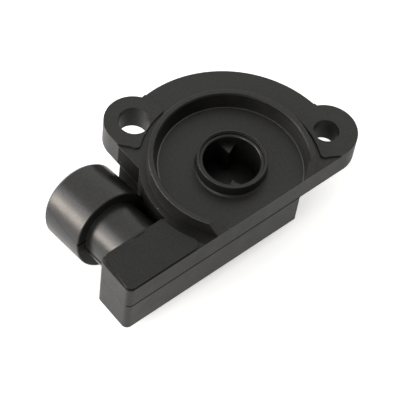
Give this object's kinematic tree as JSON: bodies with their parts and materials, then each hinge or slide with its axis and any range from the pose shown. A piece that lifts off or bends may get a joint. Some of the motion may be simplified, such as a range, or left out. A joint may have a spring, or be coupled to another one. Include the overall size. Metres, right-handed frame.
{
  "type": "throttle position sensor",
  "caption": "Flat sensor case with two mounting ears, a raised ring round a turning drive socket, and a round connector barrel on the side.",
  "frame": {"origin": "on the rotor's axis, at the level of the flange's upper face, which the raised ring stands on", "axes": "+Z along the rotor's axis, out of the mounting side; +X along the straight front face towards the right ear; the connector points to +Y, pitched 11.8 degrees down"},
  "size_m": [0.0632, 0.0379, 0.0217],
  "materials": {
    "case_plastic": "satin",
    "rotor_plastic": "satin",
    "seal_rubber": "matte",
    "bead_sealant": "matte",
    "washer_plastic": "satin",
    "spring_steel": "satin",
    "wiper_bronze": "satin",
    "brush_metal": "satin",
    "board_laminate": "satin",
    "track_ink": "matte",
    "lead_silver": "satin",
    "terminal_tin": "satin",
    "carrier_plastic": "satin"
  },
  "bodies": {
    "case": {"housing": "case_plastic", "rear_cover": "case_plastic", "cover_seal": "bead_sealant", "shaft_seal": "seal_rubber", "thrust_washer": "washer_plastic", "wave_washer": "spring_steel", "return_spring": "spring_steel", "element_board": "board_laminate", "resistor_track": "track_ink", "collector_track": "track_ink", "lead_supply": "lead_silver", "lead_signal": "lead_silver", "lead_ground": "lead_silver", "terminal_carrier": "carrier_plastic", "terminal_supply": "terminal_tin", "terminal_signal": "terminal_tin", "terminal_ground": "terminal_tin", "clip_supply": "wiper_bronze", "clip_signal": "wiper_bronze", "clip_ground": "wiper_bronze"},
    "rotor_unit": {"rotor": "rotor_plastic", "wiper": "wiper_bronze", "resistor_brush": "brush_metal", "collector_brush": "brush_metal"}
  },
  "joints": [
    {"name": "rotor_turn", "type": "hinge", "parent": "case", "child": "rotor_unit", "pos_m": [0, 0, 0], "axis": [0, 0, 1], "range_deg": [0, 100], "stiffness_Nm_per_rad": 0.003, "springref_deg": -20.05, "deforming": ["return_spring"]}
  ]
}
